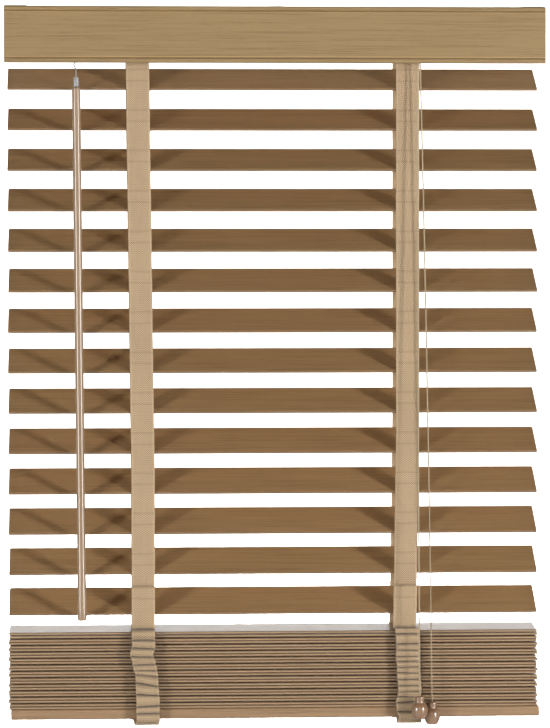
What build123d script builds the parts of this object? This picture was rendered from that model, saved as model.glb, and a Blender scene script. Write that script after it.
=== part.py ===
from build123d import *
from math import atan2, cos, degrees, pi, radians, sin, tan
import os

os.makedirs("parts", exist_ok=True)

# ---------------------------------------------------------------- driving dimensions (mm)
BLIND_WIDTH = 600.0          # over the brackets and along the valance
SLAT_LENGTH = 591.0
SLAT_WIDTH = 50.0
SLAT_THICK = 3.0
SLAT_PITCH = 44.9
SLAT_COUNT = 14              # slats that hang free; the rest lie stacked
FIRST_SLAT_Z = -80.3
SLAT_X = -1.5                # the slats hang a touch left of the valance centre
TILT = 29.5                  # front edges down
ROUTE_SLOT = (20.0, 7.0)     # hole for the lift cord, long across the slat

TAPE_X = 148.0               # ladder tapes left and right of the centre
TAPE_WIDTH = 26.0
TAPE_THICK = 0.6
RUNG_OFFSET = 8.0
RUNG_WIDTH = 4.0
RUNG_THICK = 0.5
SOFT_GAP = 0.3               # air between cloth and wood

STACK_COUNT = 23             # flat slats under the one that leans on top
STACK_STEP = 3.585
TOP_SLAT_LEAN = 3.9
RAIL_TOP_Z = -782.3
RAIL_THICK = 11.5
RAIL_X = 0.6

HEADRAIL_LENGTH = 594.0
HEADRAIL_DEPTH = 57.0
HEADRAIL_TOP_Z = -3.0
HEADRAIL_HEIGHT = 45.0
SHEET = 1.0
BRACKET_SHEET = 1.5
BRACKET_REACH = 25.0
ROD_Z = -26.0
ROD_FLATS = 6.0
DRUM_R = 10.0

VALANCE_TOP_Z = -2.0
VALANCE_HEIGHT = 62.3
VALANCE_THICK = 9.0
VALANCE_BACK_Y = -38.0

EYE = Vector(-221.1, -33.25, -44.0)      # where the wand hook hangs from the tilter shaft
WAND_FOOT = Vector(-215.6, -37.0, -682.0)
WAND_R = 4.8

CORD_R = 0.7                 # lift cord inside the blind
PULL_R = 0.8                 # braided pull cord
TASSEL_LENGTH = 25.0

EDGE_R = SLAT_THICK / 2
EDGE_ARM = SLAT_WIDTH / 2 - EDGE_R
COS_T = cos(radians(TILT))
SIN_T = sin(radians(TILT))
TAPE_INNER_Y = EDGE_ARM * COS_T + EDGE_R + SOFT_GAP
FLOOR_Z = HEADRAIL_TOP_Z - HEADRAIL_HEIGHT
FLOOR_IN = FLOOR_Z + SHEET
FRONT_Y = -HEADRAIL_DEPTH / 2


def save(piece, label):
    piece.label = label
    export_step(piece, f"parts/{label}.step")


def across(x, z, tilt):
    """Plane square to the blind's length, its x along the slat's width from front to back."""
    turn = radians(tilt)
    return Plane(origin=(x, 0, z), x_dir=(0, cos(turn), sin(turn)), z_dir=(1, 0, 0))


def face_on(x, z, tilt):
    """Plane lying in the slat's broad face."""
    turn = radians(tilt)
    return Plane(origin=(x, 0, z), x_dir=(0, cos(turn), sin(turn)), z_dir=(0, -sin(turn), cos(turn)))


def slat_z(number):
    return FIRST_SLAT_Z - SLAT_PITCH * (number - 1)


# ---------------------------------------------------------------- hanging slats and their rungs
for number in range(1, SLAT_COUNT + 1):
    z = slat_z(number)
    with BuildPart() as slat:
        with BuildSketch(across(SLAT_X, z, TILT)):
            SlotOverall(SLAT_WIDTH, SLAT_THICK)
        extrude(amount=SLAT_LENGTH / 2, both=True)
        for x in (-TAPE_X, TAPE_X):
            with BuildSketch(face_on(x, z, TILT)):
                SlotOverall(*ROUTE_SLOT)
            extrude(amount=SLAT_THICK, both=True, mode=Mode.SUBTRACT)
    save(slat.part, f"slat_{number:02d}")

    # four narrow woven straps run under each slat from the front tapes to the rear ones
    under = EDGE_R + SOFT_GAP + RUNG_THICK / 2
    front_end = -(TAPE_INNER_Y - 0.05 + (under - RUNG_THICK / 2) * SIN_T) / COS_T
    rear_end = (TAPE_INNER_Y - 0.05 - (under + RUNG_THICK / 2) * SIN_T) / COS_T
    with BuildPart() as rungs:
        for x in (-TAPE_X, TAPE_X):
            for side in (-RUNG_OFFSET, RUNG_OFFSET):
                with BuildSketch(across(x + side, z, TILT)):
                    with Locations(((front_end + rear_end) / 2, -under)):
                        Rectangle(rear_end - front_end, RUNG_THICK)
                extrude(amount=RUNG_WIDTH / 2, both=True)
    save(rungs.part, f"rungs_{number:02d}")

# ---------------------------------------------------------------- the slats that lie stacked
STACK_TOP_Z = RAIL_TOP_Z + STACK_COUNT * STACK_STEP
LEAN_RISE = EDGE_ARM * sin(radians(TOP_SLAT_LEAN))
TOP_SLAT_Z = STACK_TOP_Z + STACK_STEP - SLAT_THICK / 2 + LEAN_RISE

with BuildPart() as stacked_slats:
    for level in range(STACK_COUNT):
        drift = SLAT_X + 1.0 * sin(level * 2.4)
        z = RAIL_TOP_Z + (level + 1) * STACK_STEP - SLAT_THICK / 2
        with BuildSketch(across(drift, z, 0)):
            SlotOverall(SLAT_WIDTH, SLAT_THICK)
        extrude(amount=SLAT_LENGTH / 2, both=True)
    with BuildSketch(across(SLAT_X, TOP_SLAT_Z, TOP_SLAT_LEAN)):
        SlotOverall(SLAT_WIDTH, SLAT_THICK)
    extrude(amount=SLAT_LENGTH / 2, both=True)
    with BuildSketch(Plane.XY.offset(RAIL_TOP_Z)):
        with Locations((-TAPE_X, 0), (TAPE_X, 0)):
            SlotOverall(*ROUTE_SLOT, rotation=90)
    extrude(amount=TOP_SLAT_Z - RAIL_TOP_Z + 10, mode=Mode.SUBTRACT)
save(stacked_slats.part, "stacked_slats")

# ---------------------------------------------------------------- bottom rail with plugged cord holes
RAIL_BOTTOM_Z = RAIL_TOP_Z - RAIL_THICK
with BuildPart() as bottom_rail:
    with BuildSketch(Plane.YZ):
        with Locations((0, RAIL_TOP_Z - RAIL_THICK / 2)):
            RectangleRounded(SLAT_WIDTH, RAIL_THICK, 2.2)
    extrude(amount=SLAT_LENGTH / 2, both=True)
    with BuildSketch(Plane.XY.offset(RAIL_BOTTOM_Z)):
        with Locations((-TAPE_X - RAIL_X, 0), (TAPE_X - RAIL_X, 0)):
            Circle(6.3)
    extrude(amount=7.5, mode=Mode.SUBTRACT)
    with BuildSketch(Plane.XY.offset(RAIL_BOTTOM_Z)):
        with Locations((-TAPE_X - RAIL_X, 0), (TAPE_X - RAIL_X, 0)):
            Circle(2.5)
    extrude(amount=RAIL_THICK, mode=Mode.SUBTRACT)
save(bottom_rail.part.moved(Location((RAIL_X, 0, 0))), "bottom_rail")

PLUG_GAP = TAPE_THICK + 0.4
with BuildPart() as tape_plugs:
    with BuildSketch(Plane.XY.offset(RAIL_BOTTOM_Z - PLUG_GAP)):
        with Locations((-TAPE_X, 0), (TAPE_X, 0)):
            Circle(11.0)
    extrude(amount=-1.6)
    with BuildSketch(Plane.XY.offset(RAIL_BOTTOM_Z - PLUG_GAP)):
        with Locations((-TAPE_X, 0), (TAPE_X, 0)):
            Circle(6.2)
            Circle(4.6, mode=Mode.SUBTRACT)
    extrude(amount=PLUG_GAP + 6.0)
    chamfer(tape_plugs.faces().sort_by(Axis.Z)[0].edges(), 0.5)
save(tape_plugs.part, "tape_plugs")

# ---------------------------------------------------------------- ladder tapes
TAPE_END_Z = TOP_SLAT_Z + 3.8
TAPE_BEND_Z = FLOOR_Z - 6.0


def tape_section(side):
    """Outline of one straight tape seen from the end; side is -1 in front and +1 behind."""
    near = side * TAPE_INNER_Y
    far = side * (TAPE_INNER_Y + TAPE_THICK)
    hook_near = side * (DRUM_R + 1.9)
    hook_far = side * (DRUM_R + 1.9 + TAPE_THICK)
    return [(near, TAPE_END_Z), (near, TAPE_BEND_Z), (hook_near, ROD_Z), (hook_far, ROD_Z),
            (far, TAPE_BEND_Z), (far, TAPE_END_Z)]


for side, label in ((-1, "front_tapes"), (1, "rear_tapes")):
    with BuildPart() as tapes:
        for x in (-TAPE_X, TAPE_X):
            with BuildSketch(Plane.YZ.offset(x)):
                with BuildLine():
                    Polyline(*tape_section(side), close=True)
                make_face()
            extrude(amount=TAPE_WIDTH / 2, both=True)
    save(tapes.part, label)

# slack tape lies in pleats before and behind the stack and wraps under the bottom rail
FOLD_COUNT = 12
FOLD_TOP_Z = TOP_SLAT_Z - 1.0
FOLD_FOOT_Z = RAIL_BOTTOM_Z - 6.8
FOLD_NEAR = SLAT_WIDTH / 2 + 1.4
FOLD_FAR = SLAT_WIDTH / 2 + 12.2
PLY = 3.4


def fold_section(side):
    """Closed outline of the zigzag of pleats on one face of the stack and the wrap below it."""
    step = (FOLD_TOP_Z - FOLD_FOOT_Z - 2.0) / (2 * FOLD_COUNT)
    inner = []
    outer = []
    for turn in range(2 * FOLD_COUNT + 1):
        reach = FOLD_NEAR if turn % 2 == 0 else FOLD_FAR - PLY
        z = FOLD_TOP_Z - turn * step
        inner.append((side * reach, z))
        outer.append((side * (reach + PLY), z))
    under = RAIL_BOTTOM_Z - 0.2
    wrap = [(side * (SLAT_WIDTH / 2 - 3.0), under), (side * 7.0, under),
            (side * 7.0, under - TAPE_THICK), (side * (SLAT_WIDTH / 2 - 4.0), under - TAPE_THICK - 0.2),
            (side * (SLAT_WIDTH / 2 + 1.0), FOLD_FOOT_Z)]
    return inner + wrap + list(reversed(outer))


with BuildPart() as gathered_tapes:
    for side in (-1, 1):
        for x in (-TAPE_X, TAPE_X):
            with BuildSketch(Plane.YZ.offset(x)):
                with BuildLine():
                    Polyline(*fold_section(side), close=True)
                make_face()
            extrude(amount=TAPE_WIDTH / 2 + 0.5, both=True)
save(gathered_tapes.part, "gathered_tapes")

# ---------------------------------------------------------------- headrail
CORD_EXIT_X = 174.05
CORD_EXIT_Z = -38.75
SHAFT_OUT_Z = EYE.Z + (FRONT_Y - EYE.Y)
TAPE_OPENING = (30.0, 19.0)
with BuildPart() as headrail:
    with BuildSketch(Plane.YZ):
        with Locations((0, HEADRAIL_TOP_Z)):
            Rectangle(HEADRAIL_DEPTH, HEADRAIL_HEIGHT, align=(Align.CENTER, Align.MAX))
            Rectangle(HEADRAIL_DEPTH - 2 * SHEET, HEADRAIL_HEIGHT - SHEET, align=(Align.CENTER, Align.MAX),
                      mode=Mode.SUBTRACT)
        with Locations((FRONT_Y + SHEET, HEADRAIL_TOP_Z), (-FRONT_Y - SHEET - 3.0, HEADRAIL_TOP_Z)):
            Rectangle(3.0, SHEET, align=(Align.MIN, Align.MAX))
    extrude(amount=HEADRAIL_LENGTH / 2, both=True)
    for x in (-TAPE_X, TAPE_X):
        with BuildSketch(Plane.XY.offset(FLOOR_Z)):
            with Locations((x, -17.5), (x, 17.5)):
                Rectangle(*TAPE_OPENING)
            with Locations((x, 0)):
                Circle(3.5)
        extrude(amount=SHEET, mode=Mode.SUBTRACT)
    with BuildSketch(Plane.XZ.offset(-FRONT_Y)):
        with Locations((EYE.X, SHAFT_OUT_Z)):
            Rectangle(8.0, 9.0)
        with Locations((CORD_EXIT_X, CORD_EXIT_Z)):
            Rectangle(10.0, 6.0)
    extrude(amount=-2 * SHEET, mode=Mode.SUBTRACT)
save(headrail.part, "headrail")

# ---------------------------------------------------------------- cradles that carry the tilt rod
PIN_R = 2.5
PIN_X = PIN_R + CORD_R + 0.05
PIN_Z = CORD_EXIT_Z - PIN_X
WALL_X = 16.4
for x, label in ((-TAPE_X, "cradle_left"), (TAPE_X, "cradle_right")):
    with BuildPart() as cradle:
        with BuildSketch(Plane.XY.offset(FLOOR_IN)):
            with Locations((x, 0)):
                Rectangle(35.0, 54.0)
            with Locations((x, -17.5), (x, 17.5)):
                Rectangle(29.0, 18.0, mode=Mode.SUBTRACT)
            with Locations((x, 0)):
                Circle(2.5, mode=Mode.SUBTRACT)
        extrude(amount=1.4)
        for wall in (x - WALL_X, x + WALL_X):
            with BuildSketch(Plane.YZ.offset(wall)):
                with Locations((0, FLOOR_IN)):
                    Rectangle(30.0, ROD_Z - FLOOR_IN + 7.0, align=(Align.CENTER, Align.MIN))
                with Locations((0, ROD_Z)):
                    Circle(ROD_FLATS / 2 / cos(pi / 6) + 0.06, mode=Mode.SUBTRACT)
                with Locations((0, FLOOR_IN + 1.4)):
                    Rectangle(9.0, 9.0, align=(Align.CENTER, Align.MIN), mode=Mode.SUBTRACT)
            extrude(amount=1.0, both=True)
        with BuildSketch(Plane.XZ.offset(-7.0)):
            with Locations((x + PIN_X, PIN_Z)):
                Circle(PIN_R)
            with Locations((x + PIN_X, FLOOR_IN)):
                Rectangle(2 * PIN_R - 1.0, PIN_Z - FLOOR_IN, align=(Align.CENTER, Align.MIN))
        extrude(amount=14.0)
    save(cradle.part, label)

# ---------------------------------------------------------------- tilt rod, drums and worm wheel
with BuildPart() as tilt_rod:
    with BuildSketch(Plane.YZ.offset(-246.0)):
        with Locations((0, ROD_Z)):
            RegularPolygon(ROD_FLATS / 2, 6, major_radius=False)
    extrude(amount=411.8)
    chamfer(tilt_rod.faces().sort_by(Axis.X)[0].edges(), 0.6)
    chamfer(tilt_rod.faces().sort_by(Axis.X)[-1].edges(), 0.6)
save(tilt_rod.part, "tilt_rod")

with BuildPart() as drums:
    for x in (-TAPE_X, TAPE_X):
        with BuildSketch(Plane.YZ.offset(x)):
            with Locations((0, ROD_Z)):
                Circle(DRUM_R)
                RegularPolygon(ROD_FLATS / 2 + 0.05, 6, major_radius=False, mode=Mode.SUBTRACT)
        extrude(amount=15.0, both=True)
        for flange in (x - 14.5, x + 14.5):
            with BuildSketch(Plane.YZ.offset(flange)):
                with Locations((0, ROD_Z)):
                    Circle(DRUM_R + 1.4)
                    Circle(DRUM_R - 1.0, mode=Mode.SUBTRACT)
            extrude(amount=0.75, both=True)
save(drums.part, "drums")

WORM_R = 3.8
WORM_TILT = 45.0
WORM_REACH = (ROD_Z - EYE.Z - EYE.Y) * cos(radians(WORM_TILT))
CENTRE_GAP = (-EYE.Y - (ROD_Z - EYE.Z)) * sin(radians(WORM_TILT))
WHEEL_R = CENTRE_GAP - WORM_R - 0.2
with BuildPart() as worm_wheel:
    with BuildSketch(Plane.YZ.offset(EYE.X)):
        with Locations((0, ROD_Z)):
            Circle(WHEEL_R)
            RegularPolygon(ROD_FLATS / 2 + 0.05, 6, major_radius=False, mode=Mode.SUBTRACT)
            with PolarLocations(WHEEL_R, 24):
                Circle(0.45, mode=Mode.SUBTRACT)
    extrude(amount=3.5, both=True)
save(worm_wheel.part, "worm_wheel")

# the shaft leans forward and down out of the headrail; its profile is drawn along its own axis
worm_axis = Plane(origin=EYE, x_dir=(1, 0, 0), z_dir=(0, 1, 1))
with BuildPart() as tilter_worm:
    with BuildSketch(Plane(origin=EYE, x_dir=worm_axis.z_dir, z_dir=(-1, 0, 0))):
        with BuildLine():
            Polyline((2.4, 0), (2.4, 1.5), (WORM_REACH - 7, 1.5), (WORM_REACH - 7, WORM_R),
                     (WORM_REACH + 7, WORM_R), (WORM_REACH + 7, 1.5), (WORM_REACH + 9, 1.5),
                     (WORM_REACH + 9, 0), close=True)
        make_face()
    revolve(axis=Axis(EYE, worm_axis.z_dir))
    for groove in range(5):
        with BuildSketch(worm_axis.offset(WORM_REACH - 5.6 + groove * 2.8)):
            Circle(WORM_R)
            Circle(WORM_R - 0.8, mode=Mode.SUBTRACT)
        extrude(amount=0.6, both=True, mode=Mode.SUBTRACT)
    with BuildSketch(Plane.YZ.offset(EYE.X)):
        with Locations((EYE.Y, EYE.Z)):
            Circle(3.0)
            Circle(1.9, mode=Mode.SUBTRACT)
    extrude(amount=0.6, both=True)
save(tilter_worm.part, "tilter_worm")

CASE_LOW = FLOOR_IN
CASE_TOP = -7.5
with BuildPart() as tilter_case:
    with BuildSketch(Plane.YZ.offset(EYE.X)):
        with Locations((FRONT_Y + SHEET, CASE_LOW)):
            Rectangle(42.0, CASE_TOP - CASE_LOW, align=(Align.MIN, Align.MIN))
    extrude(amount=13.0, both=True)
    with BuildSketch(Plane.YZ.offset(EYE.X)):
        with Locations((FRONT_Y + SHEET + 1.5, CASE_LOW + 1.5)):
            Rectangle(39.0, CASE_TOP - CASE_LOW - 3.0, align=(Align.MIN, Align.MIN))
    extrude(amount=11.5, both=True, mode=Mode.SUBTRACT)
    with BuildSketch(Plane.YZ.offset(EYE.X)):
        with Locations((0, ROD_Z)):
            Circle(ROD_FLATS / 2 / cos(pi / 6) + 0.08)
    extrude(amount=20.0, both=True, mode=Mode.SUBTRACT)
    with BuildSketch(worm_axis.offset(2.0)):
        Circle(1.6)
    extrude(amount=14.0, mode=Mode.SUBTRACT)
save(tilter_case.part, "tilter_case")

# ---------------------------------------------------------------- wand: hook, ferrule and turned stick
lean = EYE - WAND_FOOT
wand_line = Plane(origin=EYE, x_dir=(1, 0, 0), z_dir=lean)
WAND_LENGTH = lean.length
WAND_START = 46.7
HOOK_R = 0.7
room_side = Vector(1, 0, 0).cross(wand_line.z_dir).normalized()
wand_side = Plane(origin=EYE, x_dir=wand_line.z_dir.cross(room_side), z_dir=room_side)
with BuildPart() as wand_hook:
    with BuildLine(wand_side) as hook_path:
        FilletPolyline((0, -40.5), (0, -27.0), (-2.6, -22.0), (2.6, -15.5), (3.9, -9.0), (3.9, 0), (-3.9, 0),
                       (-3.9, -7.0), radius=1.4)
    with BuildSketch(Plane(origin=hook_path.line @ 0, z_dir=hook_path.line % 0)):
        Circle(HOOK_R)
    sweep()
save(wand_hook.part, "wand_hook")

with BuildPart() as wand_ferrule:
    with BuildSketch(wand_line.offset(-WAND_START + 0.1)):
        Circle(3.1)
    extrude(amount=10.6)
    fillet(wand_ferrule.edges().sort_by(Axis.Z)[-1], 0.8)
    with BuildSketch(wand_line.offset(-WAND_START)):
        Circle(2.1)
    extrude(amount=8.0, mode=Mode.SUBTRACT)
    with BuildSketch(wand_line.offset(-WAND_START)):
        Circle(HOOK_R + 0.05)
    extrude(amount=12.0, mode=Mode.SUBTRACT)
save(wand_ferrule.part, "wand_ferrule")

with BuildPart() as wand:
    with BuildSketch(wand_side):
        with BuildLine():
            Polyline((0, -WAND_START + 5.5), (2.0, -WAND_START + 5.5), (2.0, -WAND_START),
                     (3.9, -WAND_START), (WAND_R, -WAND_START - 1.2), (WAND_R, -WAND_LENGTH + 60),
                     (5.4, -WAND_LENGTH + 14), (5.4, -WAND_LENGTH + 4), (3.6, -WAND_LENGTH + 0.8),
                     (1.8, -WAND_LENGTH), (0, -WAND_LENGTH), close=True)
        make_face()
    revolve(axis=Axis(EYE, wand_line.z_dir))
save(wand.part, "wand")

# ---------------------------------------------------------------- cord lock
PULLEY_AT = (169.5, -4.55)
INNER_BEND = 3.75
OUTER_BEND = 5.35
INNER_X = PULLEY_AT[0] + INNER_BEND
OUTER_X = PULLEY_AT[0] + OUTER_BEND
LOCK_AT = (OUTER_X + CORD_R + 3.55, -13.0)
EYE_Z = -51.0
PULL_TOP = {"left": Vector(157.4, -33.0, -53.5), "right": Vector(161.0, -33.0, -53.5)}

with BuildPart() as lock_frame:
    with BuildSketch(Plane.XY.offset(FLOOR_IN)):
        with Locations((183.8, -8.0)):
            Rectangle(35.6, 36.0)
    extrude(amount=1.4)
    with BuildSketch(Plane.XY.offset(-29.0)):
        with Locations((183.8, -8.0)):
            Rectangle(35.6, 36.0)
        with Locations(PULLEY_AT):
            Circle(1.56, mode=Mode.SUBTRACT)
        with Locations((LOCK_AT[0] + 2.0, LOCK_AT[1])):
            SlotOverall(7.3, 3.3, mode=Mode.SUBTRACT)
    extrude(amount=1.2)
    with BuildSketch(Plane.XY.offset(FLOOR_IN)):
        with Locations((199.0, -8.0)):
            Rectangle(5.0, 36.0)
    extrude(amount=-29.0 - FLOOR_IN)
    with BuildSketch(Plane.XY.offset(FLOOR_IN)):
        with Locations((INNER_X - CORD_R - 1.3, -16.5)):
            Rectangle(2.0, 14.0)
    extrude(amount=-29.0 - FLOOR_IN)
    with BuildSketch(Plane.XY.offset(FLOOR_IN)):
        with Locations(PULLEY_AT):
            Circle(1.5)
    extrude(amount=-27.8 - FLOOR_IN)
save(lock_frame.part, "lock_frame")

with BuildPart() as lock_pulley:
    with BuildSketch(Plane.XY.offset(FLOOR_IN + 1.6)):
        with Locations(PULLEY_AT):
            Circle(3.0)
            Circle(1.56, mode=Mode.SUBTRACT)
    extrude(amount=-29.2 - FLOOR_IN - 1.6)
save(lock_pulley.part, "lock_pulley")

with BuildPart() as lock_roller:
    with BuildSketch(Plane.XY.offset(FLOOR_IN + 1.6)):
        with Locations(LOCK_AT):
            Circle(3.5)
            with PolarLocations(3.5, 20, start_angle=9):
                Circle(0.3, mode=Mode.SUBTRACT)
    extrude(amount=-29.2 - FLOOR_IN - 1.6)
    with BuildSketch(Plane.XY.offset(-29.2)):
        with Locations(LOCK_AT):
            Circle(1.5)
    extrude(amount=2.6)
save(lock_roller.part, "lock_roller")

with BuildPart() as cord_guide:
    with BuildSketch(Plane.YZ.offset(153.5)):
        with BuildLine():
            Polyline((FRONT_Y, EYE_Z + 3.5), (FRONT_Y, EYE_Z - 1.2), (-36.4, EYE_Z - 1.2), (-36.4, EYE_Z),
                     (FRONT_Y - 1.2, EYE_Z), (FRONT_Y - 1.2, -43.0), (FRONT_Y, -43.0), close=True)
        make_face()
    extrude(amount=14.0)
    with BuildSketch(Plane.XY.offset(EYE_Z - 3.0)):
        with Locations((157.4, -33.0), (161.0, -33.0)):
            Circle(1.0)
    extrude(amount=6.0, mode=Mode.SUBTRACT)
save(cord_guide.part, "cord_guide")

# ---------------------------------------------------------------- cords
# each lift cord is knotted under the bottom rail, climbs through every slat, turns over its
# cradle's bar, runs along the headrail and leaves past the lock's pulley and the guide
routes = {
    "left": [(-TAPE_X, 0.8, RAIL_BOTTOM_Z + 3.0), (-TAPE_X, 0.8, CORD_EXIT_Z), (OUTER_X, 0.8, CORD_EXIT_Z),
             (OUTER_X, -34.6, CORD_EXIT_Z), (161.0, -33.0, -48.5), (161.0, -33.0, -53.3)],
    "right": [(TAPE_X, -0.8, RAIL_BOTTOM_Z + 3.0), (TAPE_X, -0.8, CORD_EXIT_Z), (INNER_X, -0.8, CORD_EXIT_Z),
              (INNER_X, -32.2, CORD_EXIT_Z), (157.4, -33.0, -48.5), (157.4, -33.0, -53.3)],
}
bends = {"left": [PIN_X, OUTER_BEND, 2.2, 2.2], "right": [PIN_X, INNER_BEND, 2.2, 2.2]}
with BuildPart() as lift_cords:
    for side in ("left", "right"):
        with BuildLine() as route:
            FilletPolyline(*routes[side], radius=bends[side])
        with BuildSketch(Plane(origin=route.line @ 0, z_dir=route.line % 0)):
            Circle(CORD_R)
        sweep(path=route.line)
        with Locations((routes[side][0][0], routes[side][0][1], RAIL_BOTTOM_Z + 2.4)):
            Sphere(2.0)
save(lift_cords.part, "lift_cords")

TASSEL_TOP = {"left": Vector(159.3, -48.0, -767.8), "right": Vector(174.3, -34.6, -775.6)}
PULL_MIDDLE = {"left": Vector(158.0, -40.2, -420.0), "right": Vector(169.8, -33.7, -394.0)}


def gentle_bend(start, middle, end):
    """Largest arc that leaves a straight run at both ends of a slightly bent cord."""
    turn = (middle - start).get_angle(end - middle)
    return 0.45 * min((middle - start).length, (end - middle).length) / tan(radians(turn / 2))


for side in ("left", "right"):
    start = PULL_TOP[side]
    middle = PULL_MIDDLE[side]
    end = TASSEL_TOP[side] - Vector(0, 0, 4.0)
    radius = gentle_bend(start, middle, end)
    with BuildPart() as pull_cord:
        with BuildLine() as hang:
            FilletPolyline(start, middle, end, radius=radius)
        with BuildSketch(Plane(origin=hang.line @ 0, z_dir=hang.line % 0)):
            Circle(PULL_R)
        sweep(path=hang.line)
    save(pull_cord.part, f"pull_cord_{side}")
    drawn = pi * PULL_R ** 2 * hang.wire().length
    print(f"pull_cord_{side}: bend radius {radius:.0f} mm, length {hang.wire().length:.1f} mm,",
          f"volume {pull_cord.part.volume:.1f} against {drawn:.1f} mm3")

for side in ("left", "right"):
    top = TASSEL_TOP[side]
    with BuildPart() as tassel:
        with BuildSketch(Plane(origin=top, x_dir=(1, 0, 0), z_dir=(0, -1, 0))):
            with BuildLine():
                Polyline((0, 0), (4.4, 0), (5.2, -0.8))
                Spline((5.2, -0.8), (5.0, -5.0), (6.2, -8.4), (8.7, -11.6), (9.2, -15.6), (8.0, -20.5),
                       (5.6, -24.2))
                Polyline((5.6, -24.2), (4.8, -TASSEL_LENGTH), (0, -TASSEL_LENGTH), (0, 0))
            make_face()
        revolve(axis=Axis(top, (0, 0, 1)))
        with BuildSketch(Plane(origin=top, z_dir=(0, 0, -1))):
            Circle(PULL_R + 0.25)
        extrude(amount=TASSEL_LENGTH, mode=Mode.SUBTRACT)
        with BuildSketch(Plane(origin=top - Vector(0, 0, TASSEL_LENGTH), z_dir=(0, 0, 1))):
            Circle(3.2)
        extrude(amount=14.0, mode=Mode.SUBTRACT)
    save(tassel.part, f"tassel_{side}")

# ---------------------------------------------------------------- valance and its clips
VALANCE_LOW_Z = VALANCE_TOP_Z - VALANCE_HEIGHT
BEAD = 4.6
CLIP_X = (-252.0, 0.0, 252.0)
with BuildPart() as valance:
    with BuildSketch(Plane.YZ):
        with Locations((VALANCE_BACK_Y, VALANCE_TOP_Z)):
            Rectangle(VALANCE_THICK, VALANCE_HEIGHT, align=(Align.MAX, Align.MAX))
        with Locations((VALANCE_BACK_Y - VALANCE_THICK, VALANCE_TOP_Z - BEAD),
                       (VALANCE_BACK_Y - VALANCE_THICK, VALANCE_LOW_Z + BEAD)):
            Rectangle(2.4, 1.2, mode=Mode.SUBTRACT)
        with Locations((VALANCE_BACK_Y, -22.0)):
            Rectangle(6.0, 4.0, mode=Mode.SUBTRACT)
    extrude(amount=BLIND_WIDTH / 2, both=True)
    front_edges = valance.edges().filter_by(Axis.X).group_by(Axis.Y)[0]
    fillet([front_edges.sort_by(Axis.Z)[0], front_edges.sort_by(Axis.Z)[-1]], 1.6)
save(valance.part, "valance")

with BuildPart() as valance_clips:
    for x in CLIP_X:
        with BuildSketch(Plane.YZ.offset(x)):
            with BuildLine():
                Polyline((VALANCE_BACK_Y - 2.8, -20.2), (VALANCE_BACK_Y - 2.8, -23.8),
                         (VALANCE_BACK_Y + 0.1, -23.8), (VALANCE_BACK_Y + 0.1, -34.0),
                         (VALANCE_BACK_Y + 1.6, -34.0), (VALANCE_BACK_Y + 1.6, -1.8),
                         (FRONT_Y + 5.0, -1.8), (FRONT_Y + 5.0, -2.9), (FRONT_Y - 0.1, -2.9),
                         (FRONT_Y - 0.1, -14.0), (FRONT_Y - 1.3, -14.0), (FRONT_Y - 1.3, -0.5),
                         (VALANCE_BACK_Y + 0.1, -0.5), (VALANCE_BACK_Y + 0.1, -20.2), close=True)
            make_face()
        extrude(amount=8.0, both=True)
save(valance_clips.part, "valance_clips")

# ---------------------------------------------------------------- box brackets with drop gates
BRACKET_BACK_Y = 31.5
BRACKET_FRONT_Y = -29.6
BRACKET_LOW_Z = FLOOR_Z - 0.2 - BRACKET_SHEET
SCREW_R = 2.25
SCREW_FROM_END = 12.5
for side, label in ((-1, "left"), (1, "right")):
    outer = side * BLIND_WIDTH / 2
    inner = side * (BLIND_WIDTH / 2 - BRACKET_REACH)
    with BuildPart() as bracket:
        with BuildSketch(Plane.YZ.offset(outer)):
            with Locations(((BRACKET_BACK_Y + BRACKET_FRONT_Y) / 2, BRACKET_LOW_Z / 2)):
                Rectangle(BRACKET_BACK_Y - BRACKET_FRONT_Y, -BRACKET_LOW_Z)
        extrude(amount=-side * BRACKET_REACH)
        with BuildSketch(Plane.YZ.offset(outer - side * BRACKET_SHEET)):
            with Locations((BRACKET_BACK_Y - BRACKET_SHEET, -BRACKET_SHEET)):
                Rectangle(BRACKET_BACK_Y - BRACKET_FRONT_Y, -BRACKET_LOW_Z - 2 * BRACKET_SHEET,
                          align=(Align.MAX, Align.MAX))
        extrude(amount=-side * BRACKET_REACH, mode=Mode.SUBTRACT)
        with BuildSketch(Plane.XY):
            with Locations((outer - side * SCREW_FROM_END, -15.0), (outer - side * SCREW_FROM_END, 15.0)):
                Circle(SCREW_R)
        extrude(amount=-BRACKET_SHEET, mode=Mode.SUBTRACT)
        with BuildSketch(Plane.XZ.offset(-BRACKET_BACK_Y)):
            with Locations((outer - side * SCREW_FROM_END, -12.0), (outer - side * SCREW_FROM_END, -38.0)):
                Circle(SCREW_R)
        extrude(amount=BRACKET_SHEET, mode=Mode.SUBTRACT)
        # folded channel that guides the gate on the outer side
        with BuildSketch(Plane.XY.offset(-1.0)):
            with Locations((outer, BRACKET_FRONT_Y)):
                Rectangle(BRACKET_SHEET, 3.6, align=(Align.MIN if side < 0 else Align.MAX, Align.MAX))
            with Locations((outer, BRACKET_FRONT_Y - 2.4)):
                Rectangle(4.5, 1.2, align=(Align.MIN if side < 0 else Align.MAX, Align.MAX))
        extrude(amount=BRACKET_LOW_Z + 1.0)
    save(bracket.part, f"bracket_{label}")

    with BuildPart() as gate:
        with BuildSketch(Plane.XY.offset(-1.0)):
            with Locations((outer - side * (BRACKET_SHEET + 0.2), BRACKET_FRONT_Y - 0.5)):
                Rectangle(BRACKET_REACH - BRACKET_SHEET - 0.2, 1.4,
                          align=(Align.MIN if side < 0 else Align.MAX, Align.MAX))
        extrude(amount=BRACKET_LOW_Z + 1.0)
        with BuildSketch(Plane.XY.offset(BRACKET_LOW_Z + 3.0)):
            with Locations((inner + side * 4.0, BRACKET_FRONT_Y - 1.9)):
                Rectangle(6.0, 2.2, align=(Align.CENTER, Align.MAX))
        extrude(amount=-3.0)
    save(gate.part, f"gate_{label}")

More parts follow.
